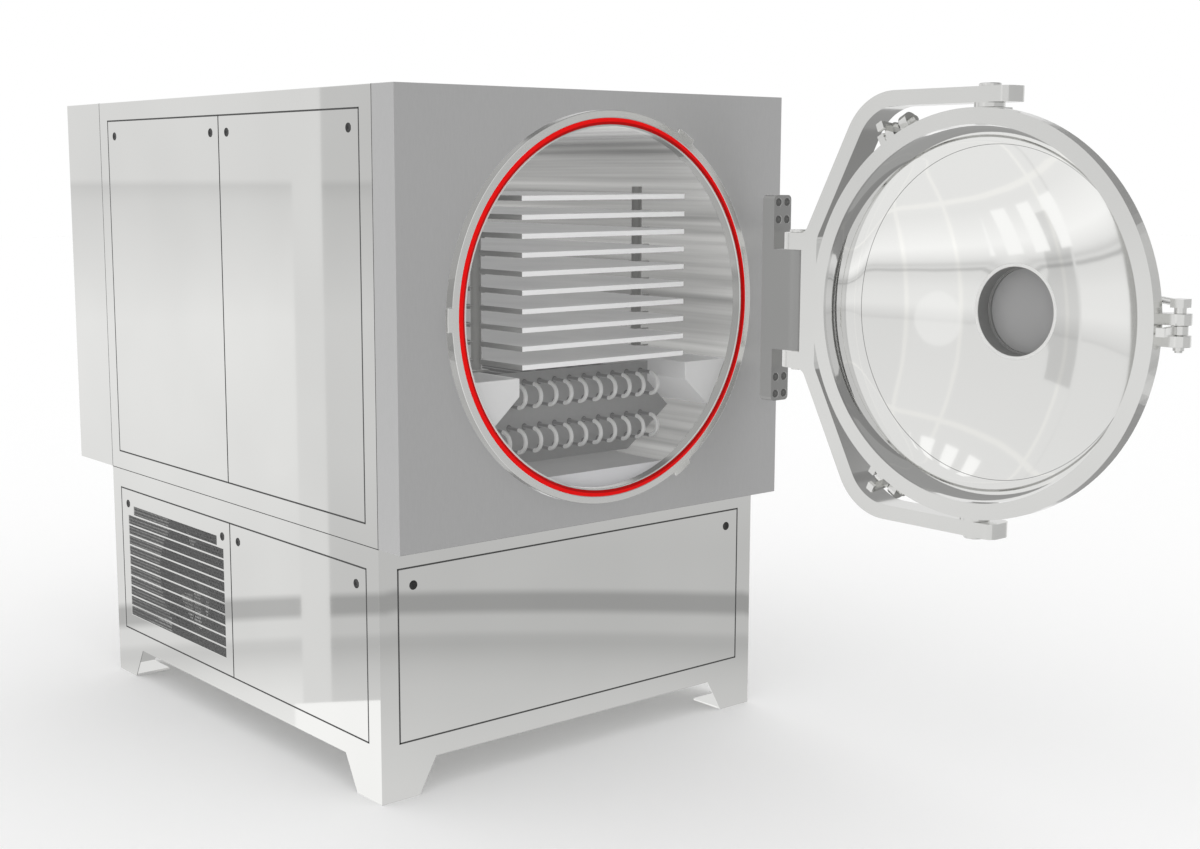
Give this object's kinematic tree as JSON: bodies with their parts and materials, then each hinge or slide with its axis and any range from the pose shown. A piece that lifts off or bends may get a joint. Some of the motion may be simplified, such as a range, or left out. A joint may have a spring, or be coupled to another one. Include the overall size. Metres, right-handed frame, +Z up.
{
  "type": "freeze dryer",
  "caption": "Production freeze dryer: round vacuum chamber with shelves and ice condenser, swing door on a yoke.",
  "frame": {"origin": "on the floor under the middle of the whole object's bounding box, with the door open as at rest", "axes": "+Z up; the chamber's mouth faces -Y; +X to the hinge side"},
  "size_m": [1.678, 3.5299, 2.011],
  "materials": {
    "steel_sheet": "polished stainless sheet",
    "brushed_steel": "brushed stainless",
    "machined_steel": "satin stainless",
    "shelf_steel": "ground and polished",
    "mirror_steel": "mirror polished",
    "red_rubber": "satin",
    "black_plastic": "matte",
    "dark_mesh": "matte",
    "dark_paint": "satin",
    "grey_paint": "satin",
    "aluminium_fins": "bare",
    "glass": "clear"
  },
  "bodies": {
    "cabinet": {"base_frame": "steel_sheet", "base_front_panel": "steel_sheet", "base_left_panel": "steel_sheet", "base_grille_panel": "steel_sheet", "grille_mesh": "dark_mesh", "base_right_front_panel": "steel_sheet", "base_right_rear_panel": "steel_sheet", "base_rear_panel": "steel_sheet", "upper_frame": "steel_sheet", "upper_left_front_panel": "steel_sheet", "upper_left_rear_panel": "steel_sheet", "upper_right_front_panel": "steel_sheet", "upper_right_rear_panel": "steel_sheet", "panel_locks": "black_plastic", "front_fascia": "brushed_steel", "rear_housing": "steel_sheet", "chamber_shell": "brushed_steel", "chamber_flange": "machined_steel", "door_seal": "red_rubber", "shelf_01": "shelf_steel", "shelf_02": "shelf_steel", "shelf_03": "shelf_steel", "shelf_04": "shelf_steel", "shelf_05": "shelf_steel", "shelf_06": "shelf_steel", "shelf_07": "shelf_steel", "shelf_08": "shelf_steel", "shelf_09": "shelf_steel", "shelf_10": "shelf_steel", "shelf_posts": "machined_steel", "left_trough": "brushed_steel", "right_trough": "brushed_steel", "condenser_tube_sheet": "brushed_steel", "condenser_coil": "machined_steel", "drain_tray": "machined_steel", "fan_motor": "dark_paint", "air_condenser": "aluminium_fins", "compressor": "dark_paint", "vacuum_pump": "grey_paint", "circulation_pump": "grey_paint", "hinge_bracket": "machined_steel", "bracket_screws": "machined_steel"},
    "yoke": {"yoke": "machined_steel", "hinge_pin": "machined_steel", "pivot_pins": "machined_steel", "pivot_washers": "machined_steel"},
    "door": {"door_ring": "machined_steel", "door_head": "mirror_steel", "sight_port_tube": "machined_steel", "sight_glass": "glass", "sight_clamp_ring": "machined_steel", "sight_screws": "machined_steel", "clamp_brackets": "machined_steel"},
    "hook_1": {"clamp_hook_1": "machined_steel"},
    "lever_1": {"clamp_lever_1": "machined_steel"},
    "hook_2": {"clamp_hook_2": "machined_steel"},
    "lever_2": {"clamp_lever_2": "machined_steel"},
    "hook_3": {"clamp_hook_3": "machined_steel"},
    "lever_3": {"clamp_lever_3": "machined_steel"},
    "fan": {"fan_rotor": "black_plastic"}
  },
  "joints": [
    {"name": "door_swing", "type": "hinge", "parent": "cabinet", "child": "yoke", "pos_m": [0.59798, -0.429, 1.371], "axis": [0, 0, -1], "range_deg": [-30, 90]},
    {"name": "door_pivot", "type": "hinge", "parent": "yoke", "child": "door", "pos_m": [0.58698, -1.132, 1.371], "axis": [0, 0, 1], "range_deg": [-12, 0]},
    {"name": "clamp_hook_1_swing", "type": "hinge", "parent": "door", "child": "hook_1", "pos_m": [0.58698, -1.735, 1.371], "axis": [0, 0, 1], "range_deg": [-10, 40]},
    {"name": "clamp_lever_1_turn", "type": "hinge", "parent": "door", "child": "lever_1", "pos_m": [0.58698, -1.735, 1.371], "axis": [0, 0, -1], "range_deg": [0, 80]},
    {"name": "clamp_hook_2_swing", "type": "hinge", "parent": "door", "child": "hook_2", "pos_m": [0.58698, -0.8305, 1.89321], "axis": [0, 0.866, -0.5], "range_deg": [-10, 40]},
    {"name": "clamp_lever_2_turn", "type": "hinge", "parent": "door", "child": "lever_2", "pos_m": [0.58698, -0.8305, 1.89321], "axis": [0, -0.866, 0.5], "range_deg": [0, 80]},
    {"name": "clamp_hook_3_swing", "type": "hinge", "parent": "door", "child": "hook_3", "pos_m": [0.58698, -0.8305, 0.84879], "axis": [0, -0.866, -0.5], "range_deg": [-10, 40]},
    {"name": "clamp_lever_3_turn", "type": "hinge", "parent": "door", "child": "lever_3", "pos_m": [0.58698, -0.8305, 0.84879], "axis": [0, 0.866, 0.5], "range_deg": [0, 80]},
    {"name": "fan_spin", "type": "hinge", "parent": "cabinet", "child": "fan", "pos_m": [-0.77802, 1.039, 0.4], "axis": [1, 0, 0], "continuous": true}
  ]
}
